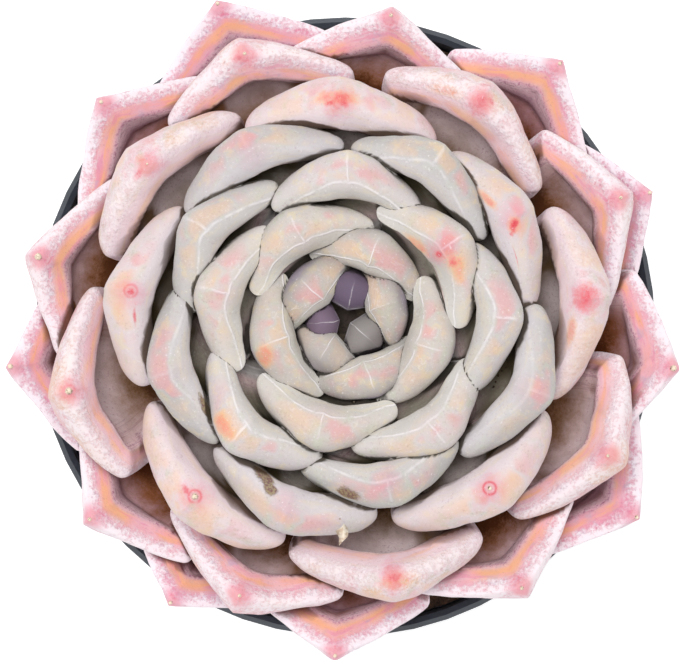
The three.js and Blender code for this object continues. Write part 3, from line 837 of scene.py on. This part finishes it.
    def red_marks(self, tone):
        """Adds warm patches, the flushed tip, blushing margins, and red spots and rings."""
        warm = self.step(self.add(self.field("warm"), self.times(self.ragged, 0.8)), 0.2, 1.3)
        tone = self.tint(tone, self.mix(self.step(warm, 0.5, 1), AMBER, SALMON), 0.8, warm)
        flush = self.step(self.add(self.tip, self.times(self.ragged, -4)), 3.8, 0.4)
        flush = self.times(flush, self.field("spot"))
        flushed = self.mix(self.step(flush, 0.2, 0.7), MAGENTA, TIP_RED)
        tone = self.tint(tone, flushed, 0.85, flush)
        blush = self.times(self.band(self.rim, -0.4, 2.6), self.step(self.drawn, 0.46, 0.62))
        tone = self.tint(tone, MAGENTA, 0.32, blush, self.old)
        red = self.step(self.add(self.field("red"), self.times(self.ragged, 1.1)), 0.35, 1.35)
        ring = self.times(self.band(self.tip, 0.95, 0.4), self.field("ring"))
        red = self.math("MAXIMUM", red, self.times(ring, self.step(self.patches, 0.3, 0.45)))
        return self.tint(tone, self.mix(self.step(red, 0.5, 1), TIP_RED, CRIMSON), 0.85, red)

    def wax(self):
        """How white the wax is that lies in flakes on the margins of the outer leaves."""
        near = self.times(self.by_number(24, 42), self.band(self.rim, 0.4, 3))
        crust = self.add(
            self.times(self.noise(0.55, 3, 0.7), 0.65), self.times(self.patches, 0.35),
            self.times(near, 0.12), self.times(self.band(self.rim, 0.1, 1.6), 0.1),
        )
        veil = self.times(self.step(crust, 0.48, 0.62), 0.6)
        flakes = self.times(self.step(crust, 0.62, 0.67), 0.4)
        off_tip = self.add(0.3, self.times(self.step(self.tip, 1.2, 3.5), 0.7))
        return self.times(self.add(veil, flakes), self.step(near, 0.02, 0.4), off_tip)


def leaf_paint():
    p = LeafPaint()
    lines = p.raised_lines()
    tone = p.tint(p.both_faces(), PALE, p.math("SUBTRACT", 0.85, p.age), lines)
    edge = p.times(p.band(p.field("fold"), 0.1, 0.3), p.step(p.patches, 0.35, 0.6))
    tone = p.tint(tone, PALE, 0.45, edge, p.rest(p.old))
    tone = p.red_marks(tone)
    frost = p.wax()
    tone = p.tint(tone, FROST, 0.8, frost, p.step(p.age, 0.3, 0.8))
    specks = p.times(p.step(p.fine, 0.6, 0.75), p.step(p.rim, -4, -1))
    tone = p.tint(tone, PALE, 0.45, specks, p.mild)
    grain = p.add(p.times(p.flicker, 0.9), p.times(p.wander, 0.3))
    tone = p.tint(tone, p.mix(0.3, tone, MAUVE), 1.0, p.step(grain, -0.05, -0.3))

    # Scars, the dry point, and painted shade where leaves shut each other in and far down in the
    # hollows.
    scar = p.step(p.add(p.field("scar"), p.times(p.ragged, 0.9)), 0.35, 0.8)
    tone = p.tint(tone, p.mix(p.step(p.fine, 0.4, 0.6), SCAR_BROWN, SCAR_OLIVE), 0.85, scar)
    tone = p.mix(p.field("dry"), tone, p.mix(p.step(p.fine, 0.5, 0.72), DRY_CREAM, DRY_BROWN))
    shut = p.add(
        p.shut, p.times(p.step(p.sunk, 11, 17.5), p.floor, p.grown, 0.66),
        p.times(p.step(p.field("near"), 0.6, 0.9), 0.2),
    )
    crevice_shade = p.ramp(p.age, by_leaf(CREVICE_SHADE))
    p.put(p.shader.inputs["Base Color"], p.tint(tone, crevice_shade, 0.92, p.step(shut, 0.34, 0.7)))

    p.put(p.shader.inputs["Roughness"], p.add(LEAF_ROUGHNESS, p.times(p.fine, 0.25)))
    p.shader.inputs["Specular IOR Level"].default_value = LEAF_GLOSS
    relief = p.add(p.times(lines, 0.8), p.times(p.fine, 0.5), p.times(frost, 0.9))
    p.bump(p.math("SUBTRACT", relief, p.times(scar, 1.5)), 0.14, 0.8)
    return p.material


def pot_paint():
    p = Paint("pot_plastic")
    cloud = p.noise(14, 3)
    grain = p.noise(0.5, 2)
    p.put(p.shader.inputs["Base Color"], p.mix(p.step(cloud, 0.3, 0.7), POT_DARK, POT_LIGHT))
    p.put(p.shader.inputs["Roughness"], p.math("ADD", 0.34, p.times(grain, 0.22)))
    p.bump(grain, 0.05, 0.5)
    return p.material


def soil_paint():
    p = Paint("potting_soil")
    crumbs = p.noise(1.6, 5, 0.7)
    grit = p.step(p.cells(2.4), 0.22, 0.12)
    tone = p.mix(p.step(crumbs, 0.35, 0.65), SOIL_DARK, SOIL_BROWN)
    tone = p.mix(p.times(grit, 0.8), tone, SOIL_GRIT)
    p.put(p.shader.inputs["Base Color"], tone)
    p.put(p.shader.inputs["Roughness"], p.math("ADD", 0.8, p.times(crumbs, 0.2)))
    p.bump(p.math("ADD", crumbs, grit), 1.2)
    return p.material


def stem_paint():
    p = Paint("stem_bark")
    height = p.node("ShaderNodeSeparateXYZ")
    p.put(height.inputs[0], p.place)
    rings = p.math("SINE", p.math("MULTIPLY", height.outputs["Z"], math.tau / (BARK_RING * MM)))
    flecks = p.noise(1.2, 4, 0.6)
    worn = p.math("ADD", p.times(rings, 0.25), flecks)
    p.put(p.shader.inputs["Base Color"], p.mix(p.step(worn, 0.3, 0.8), BARK_DARK, BARK_LIGHT))
    p.put(p.shader.inputs["Roughness"], p.math("ADD", 0.7, p.times(flecks, 0.2)))
    p.bump(worn, 0.5)
    return p.material


def shred_paint():
    p = Paint("dry_shred")
    cloud = p.noise(0.7, 3)
    p.put(p.shader.inputs["Base Color"], p.mix(p.step(cloud, 0.35, 0.65), SHRED_TAN, SHRED_PALE))
    p.put(p.shader.inputs["Roughness"], p.math("ADD", 0.6, p.times(cloud, 0.2)))
    p.bump(cloud, 0.1)
    return p.material


def floor_paint():
    p = Paint("floor")
    cloud = p.noise(300, 1)
    p.put(p.shader.inputs["Base Color"], p.mix(cloud, FLOOR_WHITE, FLOOR_SHADE))
    p.put(p.shader.inputs["Roughness"], p.math("ADD", 0.8, p.times(cloud, 0.1)))
    p.shader.inputs["Emission Color"].default_value = FLOOR_WHITE
    p.shader.inputs["Emission Strength"].default_value = FLOOR_GLOW
    return p.material


def dress_node(name, material, crease):
    """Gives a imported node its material, and smooth shading up to a crease angle in degrees."""
    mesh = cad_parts[name].data
    mesh.materials.clear()
    mesh.materials.append(material)
    mesh.shade_smooth()
    mesh.set_sharp_from_angle(angle=math.radians(crease))


def lumpy_grain(centre, size):
    """The six corners of one uneven grain."""
    turn = draw.uniform(0, math.tau)
    corners = []
    for x, y, z in GRAIN_FORM:
        wide = size * draw.uniform(*GRAIN_UNEVENNESS)
        flat = (x * math.cos(turn) - y * math.sin(turn), x * math.sin(turn) + y * math.cos(turn))
        corners.append((
            centre[0] + flat[0] * wide, centre[1] + flat[1] * wide,
            centre[2] + GRAIN_FLATNESS * z * wide,
        ))
    return corners


def grain_pile(name, places, material):
    points = []
    faces = []
    for centre, size in places:
        first = len(points)
        points += lumpy_grain(centre, size)
        faces += [tuple(first + corner for corner in face) for face in GRAIN_FACES]
    pile = new_object(name, points, faces, material)
    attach(pile, "root")
    return pile


def soil_places():
    for _ in range(GRAIN_COUNT):
        radius = math.sqrt(draw.uniform(GRAINS_FROM ** 2, GRAINS_TO ** 2))
        turn = draw.uniform(0, math.tau)
        size = draw.uniform(*GRAIN_SIZES) / 2
        height = SOIL_TOP + GRAIN_LIFT * size
        yield (radius * math.cos(turn), radius * math.sin(turn), height), size


def leaf_top(x, y):
    """The place where something dropped at x, y comes to rest on the leaves."""
    return leaf_tree.ray_cast((x, y, DROP_HEIGHT), (0, 0, -1))[0]


def crumb_places():
    for x, y, size in CRUMBS:
        yield tuple(leaf_top(x, y)), size


def dry_shred():
    """A curled, torn shred of dry skin: a thin closed strip."""
    rest = leaf_top(*SHRED_PLACE)
    sheets = []
    for lift in (SHRED_THICKNESS, 0):
        for step in range(SHRED_STEPS + 1):
            along = step / SHRED_STEPS
            full = SHRED_ENDS + (1 - SHRED_ENDS) * math.sin(math.pi * along)
            half = SHRED_WIDTH / 2 * full * draw.uniform(*SHRED_TEAR)
            height = SHRED_LIFT + lift + SHRED_CURL * (2 * along - 1) ** 2
            for side in (-1, 1):
                sheets.append((
                    rest[0] + side * half + SHRED_SWAY * math.sin(5 * along),
                    rest[1] + SHRED_LENGTH * (along - 0.5) + SHRED_SKEW * side,
                    rest[2] + height + SHRED_SKEW * side * along,
                ))
    below = 2 * (SHRED_STEPS + 1)
    faces = []
    for step in range(SHRED_STEPS):
        a = 2 * step
        faces.append((a, a + 1, a + 3, a + 2))
        faces.append((below + a + 2, below + a + 3, below + a + 1, below + a))
        faces.append((a, a + 2, below + a + 2, below + a))
        faces.append((a + 3, a + 1, below + a + 1, below + a + 3))
    last = below - 2
    faces.append((1, 0, below, below + 1))
    faces.append((last, last + 1, below + last + 1, below + last))
    return new_object("dry_shred", sheets, faces, shred_paint())


def soft_light(name, position, size, power):
    data = bpy.data.lights.new(name, "AREA")
    data.size = size
    data.energy = power
    lamp = bpy.data.objects.new(name, data)
    lamp.location = position
    aim = Vector(LIGHT_AIM) - Vector(position)
    lamp.rotation_euler = aim.to_track_quat("-Z", "Y").to_euler()
    bpy.context.scene.collection.objects.link(lamp)


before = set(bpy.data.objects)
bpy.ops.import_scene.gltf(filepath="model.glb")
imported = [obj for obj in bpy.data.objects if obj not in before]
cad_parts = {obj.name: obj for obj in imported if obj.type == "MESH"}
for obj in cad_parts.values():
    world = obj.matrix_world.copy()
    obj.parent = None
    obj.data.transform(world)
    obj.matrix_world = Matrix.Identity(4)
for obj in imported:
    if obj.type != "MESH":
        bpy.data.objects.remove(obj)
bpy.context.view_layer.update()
draw = random.Random(SEED)

leaf_material = leaf_paint()
leaf_pieces = []
all_points = []
all_faces = []
face_owners = []
own_trees = []
for number in range(LEAF_COUNT):
    leaf = Leaf(number)
    node = f"leaf_{leaf.n:02d}"
    points, faces, fields = leaf_mesh(leaf, draw.random())
    piece = new_object(f"fine_{node}", points, faces, leaf_material, fields)
    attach(piece, "root")
    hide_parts(node)
    leaf_pieces.append(piece)
    all_faces += [tuple(len(all_points) + corner for corner in face) for face in faces]
    face_owners += [leaf.n] * len(faces)
    own_trees.append(BVHTree.FromPolygons(points.tolist(), faces))
    all_points += points.tolist()

leaf_tree = BVHTree.FromPolygons(all_points, all_faces)
for n, piece in enumerate(leaf_pieces):
    cover_field(piece, n, leaf_tree, face_owners)
    contact_field(piece, n, own_trees)

soil_material = soil_paint()
dress_node("pot", pot_paint(), POT_CREASE)
dress_node("soil", soil_material, SOIL_CREASE)
dress_node("stem", stem_paint(), STEM_CREASE)

soil_grains = grain_pile("soil_grains", list(soil_places()), soil_material)
crumbs = grain_pile("leaf_crumbs", list(crumb_places()), soil_material)
shred = dry_shred()
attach(shred, "root")

bpy.ops.mesh.primitive_plane_add(size=FLOOR_SIZE)
floor = bpy.context.object
floor.name = "floor"
floor.data.materials.append(floor_paint())

camera_data = bpy.data.cameras.new("camera")
camera = bpy.data.objects.new("camera", camera_data)
bpy.context.scene.collection.objects.link(camera)
back = Vector((0, -math.sin(CAMERA_TILT), math.cos(CAMERA_TILT)))
camera.location = (Vector(CAMERA_TARGET) + back * CAMERA_DISTANCE) * MM
camera.rotation_euler = (-back).to_track_quat("-Z", "Y").to_euler()
camera_data.sensor_width = SENSOR_WIDTH
camera_data.lens = SENSOR_WIDTH * CAMERA_DISTANCE / (IMAGE_WIDTH * MM_PER_PIXEL)
camera_data.clip_start = CLIP_START * MM
bpy.context.scene.camera = camera

soft_light("key", KEY_PLACE, KEY_SIZE, KEY_POWER)
world = bpy.data.worlds.new("studio")
world.use_nodes = True
background = world.node_tree.nodes["Background"]
background.inputs["Color"].default_value = (1, 1, 1, 1)
background.inputs["Strength"].default_value = WORLD_LIGHT
bpy.context.scene.world = world
bpy.context.scene.view_settings.view_transform = "Standard"
